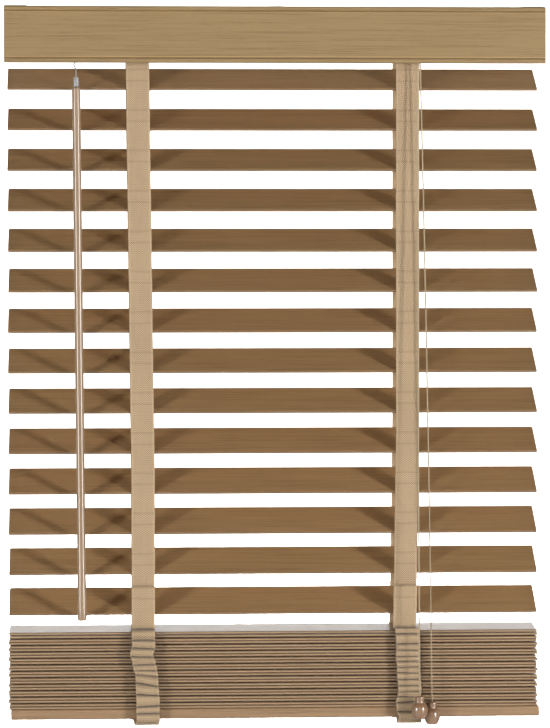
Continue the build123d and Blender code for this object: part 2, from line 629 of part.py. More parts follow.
print(f"stack top slat centre z {TOP_SLAT_Z:.2f}, wheel radius {WHEEL_R:.2f}, worm reach {WORM_REACH:.2f}")
print(f"wand length {WAND_LENGTH:.1f}, lean {degrees(atan2(lean.X, lean.Z)):.2f} degrees")
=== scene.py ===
import bpy
import random
from math import cos, pi, radians, sin, sqrt
from mathutils import Matrix, Vector, noise


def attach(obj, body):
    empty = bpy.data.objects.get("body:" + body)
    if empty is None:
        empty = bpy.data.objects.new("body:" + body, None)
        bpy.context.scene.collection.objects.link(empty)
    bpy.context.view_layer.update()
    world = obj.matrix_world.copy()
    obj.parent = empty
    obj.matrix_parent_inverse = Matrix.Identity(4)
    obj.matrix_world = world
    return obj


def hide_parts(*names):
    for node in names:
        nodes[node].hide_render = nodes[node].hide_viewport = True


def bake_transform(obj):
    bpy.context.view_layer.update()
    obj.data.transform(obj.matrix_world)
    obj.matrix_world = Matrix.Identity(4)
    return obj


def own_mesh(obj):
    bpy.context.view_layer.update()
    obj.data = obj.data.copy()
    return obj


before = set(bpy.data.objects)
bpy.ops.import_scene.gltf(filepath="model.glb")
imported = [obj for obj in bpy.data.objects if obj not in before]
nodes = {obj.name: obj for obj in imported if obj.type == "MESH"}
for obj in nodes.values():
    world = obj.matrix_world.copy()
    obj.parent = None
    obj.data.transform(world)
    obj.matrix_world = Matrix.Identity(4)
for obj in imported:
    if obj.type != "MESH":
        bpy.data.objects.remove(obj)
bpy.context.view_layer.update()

# ------------------------------------------------------------------ Room
# A round white studio cove with the blind hanging in its middle, and two tall
# soft lamps, one on each side of the viewer, who stands square on.
floor_height = -1.32


def white_cove():
    mesh = bpy.data.meshes.new("white_cove")
    profile = [(0.6, floor_height), (4.0, floor_height), (10.0, floor_height)]
    profile += [(10.0 + 3.0 * sin(radians(9 * step)), floor_height + 3.0 - 3.0 * cos(radians(9 * step)))
                for step in range(1, 11)]
    profile.append((13.0, 6.0))
    steps = 96
    corners = [(radius * cos(2 * pi * step / steps), radius * sin(2 * pi * step / steps), height)
               for radius, height in profile for step in range(steps)]
    faces = [(row * steps + step, (row + 1) * steps + step,
              (row + 1) * steps + (step + 1) % steps, row * steps + (step + 1) % steps)
             for row in range(len(profile) - 1) for step in range(steps)]
    faces.append(tuple(range(steps)))
    mesh.from_pydata(corners, [], faces)
    mesh.polygons.foreach_set("use_smooth", [True] * len(faces))
    cove = bpy.data.objects.new("white_cove", mesh)
    bpy.context.collection.objects.link(cove)
    paper = bpy.data.materials.new("white_paper")
    paper.use_nodes = True
    paper.node_tree.nodes["Principled BSDF"].inputs["Base Color"].default_value = (0.9, 0.9, 0.9, 1)
    paper.node_tree.nodes["Principled BSDF"].inputs["Roughness"].default_value = 0.95
    mesh.materials.append(paper)


white_cove()

world = bpy.data.worlds.new("even_sky")
bpy.context.scene.world = world
world.use_nodes = True
world.node_tree.nodes["Background"].inputs["Color"].default_value = (1.0, 1.0, 1.0, 1)
world.node_tree.nodes["Background"].inputs["Strength"].default_value = 0.03


def soft_lamp(name, place, aim, width, height, power, spread=180):
    light = bpy.data.lights.new(name, "AREA")
    light.shape = "RECTANGLE"
    light.size = width
    light.size_y = height
    light.energy = power
    light.spread = radians(spread)
    lamp = bpy.data.objects.new(name, light)
    bpy.context.collection.objects.link(lamp)
    lamp.location = place
    lamp.rotation_euler = (Vector(aim) - Vector(place)).to_track_quat("-Z", "Y").to_euler()


soft_lamp("lamp_left", (-2.35, -2.0, -0.36), (0, 0, -0.36), 0.42, 1.3, 44)
soft_lamp("lamp_right", (2.3, -2.05, -0.34), (0, 0, -0.36), 0.42, 1.3, 60)
soft_lamp("lamp_cove_left", (-2.5, 8.5, 4.2), (-1.2, 13, -0.6), 2.0, 2.0, 380)
soft_lamp("lamp_cove_right", (2.5, 8.5, 4.2), (1.2, 13, -0.6), 2.0, 2.0, 380)
soft_lamp("lamp_floor", (0.0, 6.3, 4.2), (0.0, 6.4, -1.3), 4.0, 4.0, 420, 70)
soft_lamp("lamp_cove_front", (0.0, -8.5, 4.6), (0.0, -13, -0.6), 3.0, 2.0, 130)

lens = bpy.data.cameras.new("viewer")
lens.lens = 3413.25 / 728 * 36
lens.sensor_width = 36
lens.clip_end = 50
viewer = bpy.data.objects.new("viewer", lens)
bpy.context.collection.objects.link(viewer)
viewer.location = (-0.20715, -3.8213, -0.29645)
viewer.rotation_euler = (radians(90 - 1.53), radians(0.07), radians(-3.12))
bpy.context.scene.camera = viewer
bpy.context.scene.view_settings.view_transform = "Standard"


# ------------------------------------------------------------------ Pull cords
# Two fine braided polyester cords leave the guide behind the valance. Each hangs
# under the weight of its tassel; the left one leans forward over the pleats.
class Shade:
    """One socket of a material. Arithmetic on it adds Math nodes; node() adds any other kind."""

    def __init__(self, tree, socket=None):
        self.tree = tree
        self.socket = socket

    def node(self, kind, settings, sockets, output=0):
        made = self.tree.nodes.new(kind)
        for name, value in settings.items():
            if name == "stops":
                ramp = made.color_ramp
                while len(ramp.elements) < len(value):
                    ramp.elements.new(0.5)
                for element, (place, colour) in zip(ramp.elements, value):
                    element.position = place
                    element.color = (*colour, 1)
            else:
                setattr(made, name, value)
        for name, value in sockets.items():
            if isinstance(value, Shade):
                self.tree.links.new(value.socket, made.inputs[name])
            else:
                made.inputs[name].default_value = value
        return Shade(self.tree, made.outputs[output])

    def maths(self, operation, first, second=0.0):
        return self.node("ShaderNodeMath", {"operation": operation}, {0: first, 1: second})

    def __add__(self, other):
        return self.maths("ADD", self, other)

    def __radd__(self, other):
        return self.maths("ADD", other, self)

    def __sub__(self, other):
        return self.maths("SUBTRACT", self, other)

    def __rsub__(self, other):
        return self.maths("SUBTRACT", other, self)

    def __mul__(self, other):
        return self.maths("MULTIPLY", self, other)

    def __rmul__(self, other):
        return self.maths("MULTIPLY", other, self)

    def sine(self):
        return self.maths("SINE", self)

    def above(self, low, high):
        """0 below low, 1 above high and smooth between."""
        return self.node("ShaderNodeMapRange", {"interpolation_type": "SMOOTHSTEP"},
                         {"Value": self, "From Min": low, "From Max": high})

    def between(self, first, second):
        """The colour that this value, 0 to 1, picks between two colours."""
        return self.node("ShaderNodeMix", {"data_type": "RGBA"},
                         {0: self, 6: first if isinstance(first, Shade) else (*first, 1),
                          7: second if isinstance(second, Shade) else (*second, 1)}, 2)


def start_finish(name):
    material = bpy.data.materials.new(name)
    material.use_nodes = True
    material.node_tree.nodes.clear()
    return material, Shade(material.node_tree)


def end_finish(start, **sockets):
    names = {"colour": "Base Color", "roughness": "Roughness", "metallic": "Metallic", "normal": "Normal",
             "coat": "Coat Weight", "coat_roughness": "Coat Roughness", "sheen": "Sheen Weight",
             "sheen_roughness": "Sheen Roughness", "see_through": "Transmission Weight", "ior": "IOR",
             "coat_ior": "Coat IOR"}
    shader = start.node("ShaderNodeBsdfPrincipled", {}, {names[key]: value for key, value in sockets.items()})
    output = start.tree.nodes.new("ShaderNodeOutputMaterial")
    start.tree.links.new(shader.socket, output.inputs["Surface"])


def bumped(start, height, depth, strength=1.0):
    """Normal that follows a height of 0 to 1, depth metres deep."""
    return start.node("ShaderNodeBump", {}, {"Height": height, "Distance": depth, "Strength": strength})


def rest_place(start):
    """The point on the piece in the blind's own frame, in metres."""
    return start.node("ShaderNodeTexCoord", {}, {}, 3)


def mottle(start, place, stretch, scale=1.0, detail=4.0, roughness=0.55):
    """Noise of 0 to 1 with its own scale along each of x, y and z."""
    drawn_out = start.node("ShaderNodeVectorMath", {"operation": "MULTIPLY"}, {0: place, 1: stretch})
    return start.node("ShaderNodeTexNoise", {}, {"Vector": drawn_out, "Scale": scale, "Detail": detail,
                                                 "Roughness": roughness})


def add_piece(name, mesh, material, body=None, smooth=True):
    piece = bpy.data.objects.new(name, mesh)
    bpy.context.collection.objects.link(piece)
    mesh.materials.clear()
    mesh.materials.append(material)
    if smooth:
        mesh.polygons.foreach_set("use_smooth", [True] * len(mesh.polygons))
    if body:
        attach(piece, body)
    return piece


def cord_line(name, route):
    """NURBS line through the air with the route's points as its controls."""
    curve = bpy.data.curves.new(name, "CURVE")
    curve.dimensions = "3D"
    curve.resolution_u = 24
    spline = curve.splines.new("NURBS")
    spline.points.add(len(route) - 1)
    for point, place in zip(spline.points, route):
        point.co = (*place, 1)
    spline.order_u = 3
    spline.use_endpoint_u = True
    return curve


def cord_points(curve):
    bare = bpy.data.objects.new("bare_line", curve)
    line = bpy.data.meshes.new_from_object(bare)
    points = [vertex.co.copy() for vertex in line.vertices]
    bpy.data.objects.remove(bare)
    bpy.data.meshes.remove(line)
    return points


def tube_mesh(name, points, radius, sides=14):
    """Round tube along points, with the distance along it and round it kept for the braid."""
    mesh = bpy.data.meshes.new(name)
    corners, faces, braid = [], [], []
    side = Vector((1, 0, 0))
    travelled = 0.0
    for row, point in enumerate(points):
        ahead = points[min(row + 1, len(points) - 1)] - points[max(row - 1, 0)]
        ahead.normalize()
        side = (side - ahead * side.dot(ahead)).normalized()
        other = ahead.cross(side)
        if row:
            travelled += (point - points[row - 1]).length
        for step in range(sides):
            turn = 2 * pi * step / sides
            corners.append(point + radius * (cos(turn) * side + sin(turn) * other))
            braid.append((travelled, step / sides, radius))
            if row:
                after = (step + 1) % sides
                faces.append(((row - 1) * sides + step, (row - 1) * sides + after,
                              row * sides + after, row * sides + step))
    faces.append(tuple(reversed(range(sides))))
    faces.append(tuple(range(len(corners) - sides, len(corners))))
    mesh.from_pydata(corners, [], faces)
    mesh.attributes.new("braid", "FLOAT_VECTOR", "POINT").data.foreach_set(
        "vector", [value for row in braid for value in row])
    return mesh


cord_finish, start = start_finish("braided_cord")
along = start.node("ShaderNodeAttribute", {"attribute_name": "braid"}, {}, 1)
travelled = start.node("ShaderNodeSeparateXYZ", {}, {"Vector": along}, 0)
place = rest_place(start)
side_x = start.node("ShaderNodeSeparateXYZ", {}, {"Vector": place}, 0)
plait = ((travelled * 4200.0 + side_x * 2400.0).sine() * (travelled * 4200.0 - side_x * 2400.0).sine()) * 0.5 + 0.5
fuzz = mottle(start, place, (900, 900, 900))
end_finish(start, colour=(plait * 0.75 + fuzz * 0.25).between((0.33, 0.245, 0.14), (0.66, 0.52, 0.33)),
           roughness=0.7, normal=bumped(start, plait * 0.8 + fuzz * 0.2, 0.0003), sheen=0.3)

pull_routes = {
    "left": [(0.1574, -0.0330, -0.0535), (0.1580, -0.0402, -0.4200), (0.1593, -0.0480, -0.7718)],
    "right": [(0.1610, -0.0330, -0.0535), (0.1698, -0.0337, -0.3940), (0.1743, -0.0346, -0.7796)],
}
pull_cords = {}
for side_name, route in pull_routes.items():
    points = cord_points(cord_line(f"pull_line_{side_name}", route))
    cord = add_piece(f"pull_cord_{side_name}_braid", tube_mesh(f"pull_cord_{side_name}_braid", points, 0.0008),
                     cord_finish)
    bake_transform(cord)
    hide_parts(f"pull_cord_{side_name}")
    pull_cords[side_name] = (cord, route, points)

# ------------------------------------------------------------------ Tassels
# Turned wooden acorns on the pull cords' ends, gloss lacquered. The cord's knot
# sits in the hollow that is drilled up from the foot.
tassel_tops = {"left": (0.1593, -0.0480, -0.7678), "right": (0.1743, -0.0346, -0.7756)}
acorn_outline = [(3.9, 0.0), (4.5, -0.15), (5.0, -0.6), (5.2, -1.2),
                 (5.15, -2.4), (5.05, -4.0), (5.0, -5.4), (5.15, -6.6), (5.5, -7.4), (5.7, -7.7), (6.1, -7.9),
                 (6.9, -8.5), (7.8, -9.6), (8.6, -11.2), (9.05, -13.2), (9.2, -15.2), (9.0, -17.4), (8.4, -19.6),
                 (7.5, -21.8), (6.5, -23.5), (5.9, -24.3), (5.3, -24.8), (4.6, -25.0), (3.6, -25.0), (3.2, -24.8),
                 (3.2, -12.0), (1.1, -11.0), (1.1, -0.2)]


def turned_mesh(name, outline, place, steps=48, closed=False):
    """Outline in millimetres from the axis and along it, spun round a vertical line through place."""
    mesh = bpy.data.meshes.new(name)
    corners, faces = [], []
    for radius, height in outline:
        for step in range(steps):
            turn = 2 * pi * step / steps
            corners.append((place[0] + radius / 1000 * cos(turn), place[1] + radius / 1000 * sin(turn),
                            place[2] + height / 1000))
    rows = len(outline)
    for row in range(rows if closed else rows - 1):
        following = (row + 1) % rows
        for step in range(steps):
            after = (step + 1) % steps
            faces.append((row * steps + step, following * steps + step,
                          following * steps + after, row * steps + after))
    mesh.from_pydata(corners, [], faces)
    return mesh


tassel_finish, start = start_finish("gloss_turned_wood")
place = rest_place(start)
figure = mottle(start, place, (60, 60, 14), detail=5.0)
fibre = mottle(start, place, (700, 700, 60), detail=3.0)
warmth = (figure * 1.5 - 0.25).between((0.23, 0.118, 0.055), (0.46, 0.262, 0.138))
end_finish(start, colour=(fibre.above(0.3, 0.75) * 0.6 + 0.4).between((0.20, 0.105, 0.055), warmth),
           roughness=0.34 + fibre * 0.08, coat=1.0, coat_roughness=0.2, coat_ior=1.75,
           normal=bumped(start, fibre, 0.00006))

for side_name, top in tassel_tops.items():
    tassel = add_piece(f"tassel_{side_name}_acorn",
                       turned_mesh(f"tassel_{side_name}_acorn", acorn_outline, top, closed=True),
                       tassel_finish, "pull")
    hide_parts(f"tassel_{side_name}")
    knot_place = (top[0], top[1], top[2] - 0.0135)
    knot = add_piece(f"tassel_{side_name}_knot",
                     turned_mesh(f"tassel_{side_name}_knot", [(0.1, 2.2), (0.9, 1.9), (1.7, 1.1), (2.1, 0.0),
                                                              (1.7, -1.2), (1.0, -1.9), (0.8, -3.8), (0.1, -4.0)],
                                 knot_place, 16), cord_finish, "pull")
    cord, route, points = pull_cords[side_name]

# ------------------------------------------------------------------ Valance
# A lipped wooden board clipped in front of the headrail. A fine bead is routed
# along its top and bottom edges; stained and satin lacquered like the slats. A paler
# line on each bead's lip is a painted highlight, and the routed hollow beside it is painted shade.
valance_back = -0.038


def bead_outline():
    """Half of the board's section from its middle to its edge, as depth from the back and height."""
    steps = [(9.0, 0.0), (9.0, 24.6), (8.7, 25.1), (7.95, 25.4), (7.8, 25.9), (7.95, 26.4), (8.5, 26.7),
             (8.9, 27.1), (9.0, 27.8), (9.0, 29.0), (8.75, 30.1), (8.1, 30.85), (7.2, 31.15), (0.6, 31.15),
             (0.0, 30.6), (0.0, 0.0)]
    return [(depth / 1000, height / 1000) for depth, height in steps]


def board_mesh(name, half_outline, length, centre, back):
    """Board along x with the same moulding above and below its centre height."""
    upper = half_outline
    lower = [(depth, -height) for depth, height in reversed(half_outline[1:-1])]
    outline = upper + lower
    mesh = bpy.data.meshes.new(name)
    corners, faces, grain = [], [], []
    stations = [-1.0, -0.9985] + [-0.9 + 0.2 * step for step in range(10)] + [0.9985, 1.0]
    for number, station in enumerate(stations):
        shrink = 0.0007 if number in (0, len(stations) - 1) else 0.0
        for depth, height in outline:
            depth_in = min(max(depth, shrink), 0.009 - shrink)
            height_in = max(min(height, 0.03115 - shrink), -0.03115 + shrink)
            corners.append((station * length / 2, back - depth_in, centre + height_in))
            grain.append((station * length / 2 + 3.1, back - depth, centre + height))
    size = len(outline)
    for row in range(len(stations) - 1):
        for step in range(size):
            after = (step + 1) % size
            faces.append((row * size + step, row * size + after, (row + 1) * size + after, (row + 1) * size + step))
    faces.append(tuple(range(size)))
    faces.append(tuple(reversed(range(len(corners) - size, len(corners)))))
    mesh.from_pydata(corners, [], faces)
    mesh.attributes.new("grain", "FLOAT_VECTOR", "POINT").data.foreach_set(
        "vector", [value for row in grain for value in row])
    return mesh


def lacquered_wood(name, pale, deep, line, shine=0.42, relief=0.00012, bead_light_and_shade=False, edge=None):
    """Stained wood with its grain along x: broad figure, fine dark lines, open pores, satin lacquer."""
    finish, start = start_finish(name)
    place = start.node("ShaderNodeAttribute", {"attribute_name": "grain"}, {}, 1)
    drift = mottle(start, place, (2.2, 30, 30), detail=3.0)
    figure = mottle(start, place, (5, 260, 260), detail=5.0, roughness=0.6)
    lines = mottle(start, place, (9, 900, 900), detail=4.0, roughness=0.65)
    pores = mottle(start, place, (70, 2600, 2600), detail=2.0)
    body_colour = (drift * 0.7 + figure * 0.5 - 0.1).between(deep, pale)
    board = mottle(start, place, (0.4, 0.4, 0.4), detail=0.0)
    body_colour = (board.above(0.3, 0.7) * 0.35).between(body_colour, (pale[0] * 0.86, pale[1] * 0.93, pale[2] * 0.9))
    lined = (lines.above(0.48, 0.64) * 0.55).between(body_colour, line)
    pored = (pores.above(0.60, 0.72) * 0.45).between(lined, tuple(value * 0.62 for value in line))
    # A beaded board gets a painted highlight, a paler line along the lip of each bead, and painted shade darkening the
    # routed hollow beside it.
    if bead_light_and_shade:
        reach = start.maths("ABSOLUTE", start.node("ShaderNodeSeparateXYZ", {}, {"Vector": place}, 2) + 0.03315)
        lip = reach.above(0.0239, 0.0243) * (1 - reach.above(0.0249, 0.0253))
        groove_painted_shade = reach.above(0.0252, 0.0255) * (1 - reach.above(0.0264, 0.0268))
        pored = (lip * 0.6).between(pored, tuple(value * 1.45 for value in pale))
        pored = (groove_painted_shade * 0.75).between(pored, line)
    # Where an edge mask is given, a darker colour is laid along it: on the hanging slats' long edges, and as painted
    # shade in the gaps of the stack.
    if edge:
        name, share, darker_edge_colour = edge
        pored = (start.node("ShaderNodeAttribute", {"attribute_name": name}, {}, 2) * share).between(pored, darker_edge_colour)
    height = 1 - (lines.above(0.5, 0.7) * 0.5 + pores.above(0.58, 0.75) * 0.5)
    end_finish(start, colour=pored, roughness=shine + lines * 0.14, coat=0.22, coat_roughness=0.3,
               normal=bumped(start, height, relief))
    return finish


valance_finish = lacquered_wood("valance_wood", (0.405, 0.268, 0.121), (0.335, 0.214, 0.093),
                                (0.225, 0.135, 0.054), bead_light_and_shade=True)
valance = add_piece("valance_board", board_mesh("valance_board", bead_outline(), 0.6, -0.03315, valance_back),
                    valance_finish, "frame", smooth=False)
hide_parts("valance")

# ------------------------------------------------------------------ Hanging slats
# Fourteen sawn and sanded wooden slats with eased edges. Each has two long slots
# for the lift cords and lies loose on its rungs, front edge down.
slat_length, slat_width, slat_thick = 0.591, 0.050, 0.003
slat_middle = -0.0015
tape_x = 0.148
slat_tilts = [29.3 + 0.13 * number for number in range(14)]
first_slat, slat_pitch = -0.0803, 0.0449


def slat_blank(name):
    """One flat slat about its own middle: x along it, y across it."""
    easing = 0.00115
    curve = bpy.data.curves.new(name, "CURVE")
    curve.dimensions = "2D"
    curve.fill_mode = "BOTH"
    curve.extrude = slat_thick / 2 - easing
    curve.bevel_depth = easing
    curve.bevel_resolution = 2
    curve.offset = -easing
    half_x, half_y, corner = slat_length / 2, slat_width / 2, 0.0016
    outline = []
    for side_x, side_y, first in ((1, -1, -90), (1, 1, 0), (-1, 1, 90), (-1, -1, 180)):
        for step in range(5):
            turn = radians(first + 22.5 * step)
            outline.append((side_x * (half_x - corner) + corner * cos(turn),
                            side_y * (half_y - corner) + corner * sin(turn)))
    holes = []
    for centre in (-tape_x - slat_middle, tape_x - slat_middle):
        hole = []
        for side_y, first in ((1, 0), (-1, 180)):
            for step in range(9):
                turn = radians(first + 22.5 * step)
                hole.append((centre + 0.0035 * cos(turn), side_y * 0.0065 + 0.0035 * sin(turn)))
        holes.append(hole)
    for ring in [outline] + holes:
        spline = curve.splines.new("POLY")
        spline.points.add(len(ring) - 1)
        for point, (x, y) in zip(spline.points, ring):
            point.co = (x, y, 0, 1)
        spline.use_cyclic_u = True
    shape = bpy.data.objects.new(name, curve)
    mesh = bpy.data.meshes.new_from_object(shape)
    bpy.data.objects.remove(shape)
    return mesh


def place_slat(blank, name, tilt, x, y, z, chance):
    """Copy of the blank turned about its own length and put in place, with its own cut of the grain."""
    mesh = blank.copy()
    mesh.name = name
    cut = Vector((chance.uniform(0, 9), chance.uniform(0, 9), chance.uniform(0, 9)))
    grain = [value for vertex in mesh.vertices for value in vertex.co + cut]
    mesh.attributes.new("grain", "FLOAT_VECTOR", "POINT").data.foreach_set("vector", grain)
    # The first mask covers the long edges. The second, on their corners next to the top and bottom faces, is used as
    # painted shade in the gaps between stacked slats.
    edge = [min(max((abs(vertex.co.y) - 0.0238) / 0.0009, 0), 1) for vertex in mesh.vertices]
    arris = [side * min(max((abs(vertex.co.z) - 0.00062) / 0.0005, 0), 1) for side, vertex in zip(edge, mesh.vertices)]
    mesh.attributes.new("edge", "FLOAT", "POINT").data.foreach_set("value", edge)
    mesh.attributes.new("arris", "FLOAT", "POINT").data.foreach_set("value", arris)
    mesh.transform(Matrix.Translation((x, y, z)) @ Matrix.Rotation(radians(tilt), 4, "X"))
    return mesh


slat_blank_mesh = slat_blank("slat_blank")
slat_finish = lacquered_wood("slat_wood", (0.49, 0.295, 0.135), (0.39, 0.226, 0.098), (0.235, 0.128, 0.05),
                             edge=("edge", 0.6, (0.16, 0.095, 0.048)))
chance = random.Random(7)
for number in range(1, 15):
    height = first_slat - slat_pitch * (number - 1)
    mesh = place_slat(slat_blank_mesh, f"slat_{number:02d}_wood", slat_tilts[number - 1],
                      slat_middle + chance.uniform(-0.0004, 0.0004), 0, height, chance)
    slat = add_piece(f"slat_{number:02d}_wood", mesh, slat_finish, f"slat_{number:02d}", smooth=False)
    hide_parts(f"slat_{number:02d}")

# ------------------------------------------------------------------ Stack of gathered slats
# The other slats lie on the bottom rail, each on its own rungs, so that the gaps
# between them vary. The top one leans with its back edge up.
rail_top = -0.7823
stack_step = 0.003585
chance = random.Random(21)
stack_parts = []
gaps = [0.15, 0.20, 1.20, 0.10, 1.10, 0.08, 1.15, 0.15, 1.10, 0.08, 1.25, 0.10, 1.10, 0.08, 1.15, 0.12, 1.15,
        0.08, 1.10, 0.15, 1.15, 0.12, 1.10]
spare = (23 * stack_step - 23 * slat_thick) / (sum(gaps) / 1000)
for level in range(len(gaps)):
    height = rail_top + level * slat_thick + sum(gaps[:level + 1]) / 1000 * spare
    stack_parts.append(place_slat(slat_blank_mesh, "stack_slat", chance.uniform(-0.12, 0.12),
                                  slat_middle + 0.001 * sin(level * 2.4), 0, height + slat_thick / 2, chance))
stack_parts.append(place_slat(slat_blank_mesh, "stack_slat_top", 3.9, slat_middle, 0, -0.69616, chance))


def joined(name, parts):
    """One mesh of several, keeping the grain and the painted gap shade."""
    mesh = bpy.data.meshes.new(name)
    corners, faces, grain, arris = [], [], [], []
    for part in parts:
        base = len(corners)
        corners.extend(vertex.co.copy() for vertex in part.vertices)
        faces.extend(tuple(base + index for index in face.vertices) for face in part.polygons)
        grain.extend(value for item in part.attributes["grain"].data for value in item.vector)
        arris.extend(item.value for item in part.attributes["arris"].data)
    mesh.from_pydata(corners, [], faces)
    mesh.attributes.new("grain", "FLOAT_VECTOR", "POINT").data.foreach_set("vector", grain)
    mesh.attributes.new("arris", "FLOAT", "POINT").data.foreach_set("value", arris)
    return mesh


# Near-black painted shade on each stacked slat's front corners stands for the gaps between the slats.
stack_finish = lacquered_wood("stack_wood", (0.52, 0.345, 0.205), (0.42, 0.268, 0.15), (0.30, 0.185, 0.10), 0.30,
                              0.00003, edge=("arris", 0.85, (0.035, 0.018, 0.008)))
stack = add_piece("stacked_slats_wood", joined("stacked_slats_wood", stack_parts), stack_finish, "stack",
                  smooth=False)
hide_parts("stacked_slats")

# ------------------------------------------------------------------ Bottom rail and its plugs
# A thicker bar of the same wood with eased corners. The tapes wrap under it and
# a round moulded plug holds each pair of ends in its hole.
rail_finish = lacquered_wood("rail_wood", (0.43, 0.268, 0.142), (0.34, 0.202, 0.102), (0.22, 0.125, 0.065))


def bar_mesh(name, length, width, thick, middle, centre, round_off):
    """Bar along x with rounded long edges and slightly eased ends."""
    mesh = bpy.data.meshes.new(name)
    outline = []
    for side_y, side_z, first in ((1, 1, 0), (-1, 1, 90), (-1, -1, 180), (1, -1, 270)):
        for step in range(6):
            turn = radians(first + 18 * step)
            outline.append((side_y * (width / 2 - round_off) + round_off * cos(turn),
                            side_z * (thick / 2 - round_off) + round_off * sin(turn)))
    corners, faces, grain = [], [], []
    ends = [(-0.5, 0.0009), (-0.5, 0.0), (-0.25, 0), (0, 0), (0.25, 0), (0.5, 0.0), (0.5, 0.0009)]
    for number, (station, shrink) in enumerate(ends):
        x = station * length
        if number == 1:
            x += 0.0009
        if number == 5:
            x -= 0.0009
        for y, z in outline:
            corners.append((middle + x, y * (1 - 2 * shrink / width), centre + z * (1 - 2 * shrink / thick)))
            grain.append((x + 5.3, y + 1.7, z + 0.6))
    size = len(outline)
    for row in range(len(ends) - 1):
        for step in range(size):
            after = (step + 1) % size
            faces.append((row * size + step, row * size + after, (row + 1) * size + after, (row + 1) * size + step))
    faces.append(tuple(range(size)))
    faces.append(tuple(reversed(range(len(corners) - size, len(corners)))))
    mesh.from_pydata(corners, [], [tuple(reversed(face)) for face in faces])
    mesh.attributes.new("grain", "FLOAT_VECTOR", "POINT").data.foreach_set(
        "vector", [value for row in grain for value in row])
    return mesh


rail = add_piece("bottom_rail_wood", bar_mesh("bottom_rail_wood", 0.591, 0.05, 0.0115, 0.0006, -0.78805, 0.0022),
                 rail_finish, "stack", smooth=False)
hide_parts("bottom_rail")

plug_finish, start = start_finish("brown_plug")
grainy = mottle(start, rest_place(start), (1500, 1500, 1500))
end_finish(start, colour=grainy.between((0.17, 0.10, 0.055), (0.25, 0.155, 0.09)), roughness=0.45 + grainy * 0.15,
           normal=bumped(start, grainy, 0.00008))
nodes["tape_plugs"].data.materials.clear()
nodes["tape_plugs"].data.materials.append(plug_finish)

# ------------------------------------------------------------------ Ladder tapes
# Woven cotton tape with a herringbone face and a firm selvedge down each side, four lengths
# in all. Rungs are stitched in behind it at every slat. Its foot lies outside it on the stack.
tape_width, tape_thick = 0.026, 0.0006
tape_face = 0.02254
foot_face, drum_face = 0.0262, 0.0122
drum_height, foot_start, foot_end = -0.026, -0.645, -0.6935


def ribbon_mesh(name, rows, thick, columns=14):
    """Ribbon through rows of (middle, direction across, outward normal, distance along, painted fold shade)."""
    mesh = bpy.data.meshes.new(name)
    corners, faces, weave = [], [], []
    for middle, across, outward, travelled, painted_crease_shade in rows:
        for face_side in (1, -1):
            for column in range(columns + 1):
                share = column / columns - 0.5
                edge = 1.25 if abs(share) > 0.45 else 1.0
                corners.append(middle + across * share * tape_width + outward * face_side * thick / 2 * edge)
                weave.append((share * tape_width, travelled, painted_crease_shade))
    width = 2 * (columns + 1)
    for row in range(len(rows) - 1):
        low, high = row * width, (row + 1) * width
        for column in range(columns):
            faces.append((low + column, low + column + 1, high + column + 1, high + column))
            back = columns + 1 + column
            faces.append((high + back, high + back + 1, low + back + 1, low + back))
        faces.append((low + columns, low + 2 * columns + 1, high + 2 * columns + 1, high + columns))
        faces.append((high, high + columns + 1, low + columns + 1, low))
    for row in (0, len(rows) - 1):
        base = row * width
        ring = list(range(base, base + columns + 1)) + list(range(base + 2 * columns + 1, base + columns, -1))
        faces.append(tuple(reversed(ring)) if row == 0 else tuple(ring))
    mesh.from_pydata(corners, [], faces)
    mesh.attributes.new("weave", "FLOAT_VECTOR", "POINT").data.foreach_set(
        "vector", [value for row in weave for value in row])
    return mesh


def woven_tape(name, pale, deep):
    finish, start = start_finish(name)
    weave = start.node("ShaderNodeAttribute", {"attribute_name": "weave"}, {}, 1)
    across = start.node("ShaderNodeSeparateXYZ", {}, {"Vector": weave}, 0)
    along = start.node("ShaderNodeSeparateXYZ", {}, {"Vector": weave}, 1)
    zig = start.maths("PINGPONG", across + 1.0, 0.0037)
    twill = ((along + zig) * (2 * pi / 0.0024)).sine() * 0.5 + 0.5
    threads = (across * (2 * pi / 0.0013)).sine() * 0.5 + 0.5
    selvedge = start.maths("ABSOLUTE", across).above(0.0108, 0.0113)
    ribs = (along * (2 * pi / 0.0009)).sine() * 0.5 + 0.5
    pull = mottle(start, weave, (60, 25, 1), detail=1.0) * 0.35
    stitch = (along * (2 * pi / slat_pitch) + 1.2 + pull).sine().above(0.975, 0.999)
    stitch_twin = (along * (2 * pi / slat_pitch) - 0.55 + pull).sine().above(0.98, 0.999)
    soil = mottle(start, rest_place(start), (40, 40, 12))
    slub = mottle(start, weave, (500, 2200, 1), detail=2.0)
    weave_height = (1 - selvedge) * (twill * 0.7 + threads * 0.3) + selvedge * (ribs * 0.5 + 0.4)
    # The third weave value darkens the cloth as painted shade in the pleats' folds and under the rail.
    painted_crease_shade = start.node("ShaderNodeSeparateXYZ", {}, {"Vector": weave}, 2)
    shade = twill * 0.46 + threads * 0.16 + slub * 0.34 + soil * 0.2 + selvedge * 0.16 - \
        (stitch + stitch_twin) * 0.11 - painted_crease_shade * 0.75
    end_finish(start, colour=shade.between(deep, pale), roughness=0.86, sheen=0.35, sheen_roughness=0.5,
               normal=bumped(start, weave_height, 0.00035, 0.8))
    return finish


tape_finish = woven_tape("ladder_tape_cloth", (0.75, 0.54, 0.325), (0.14, 0.09, 0.046))


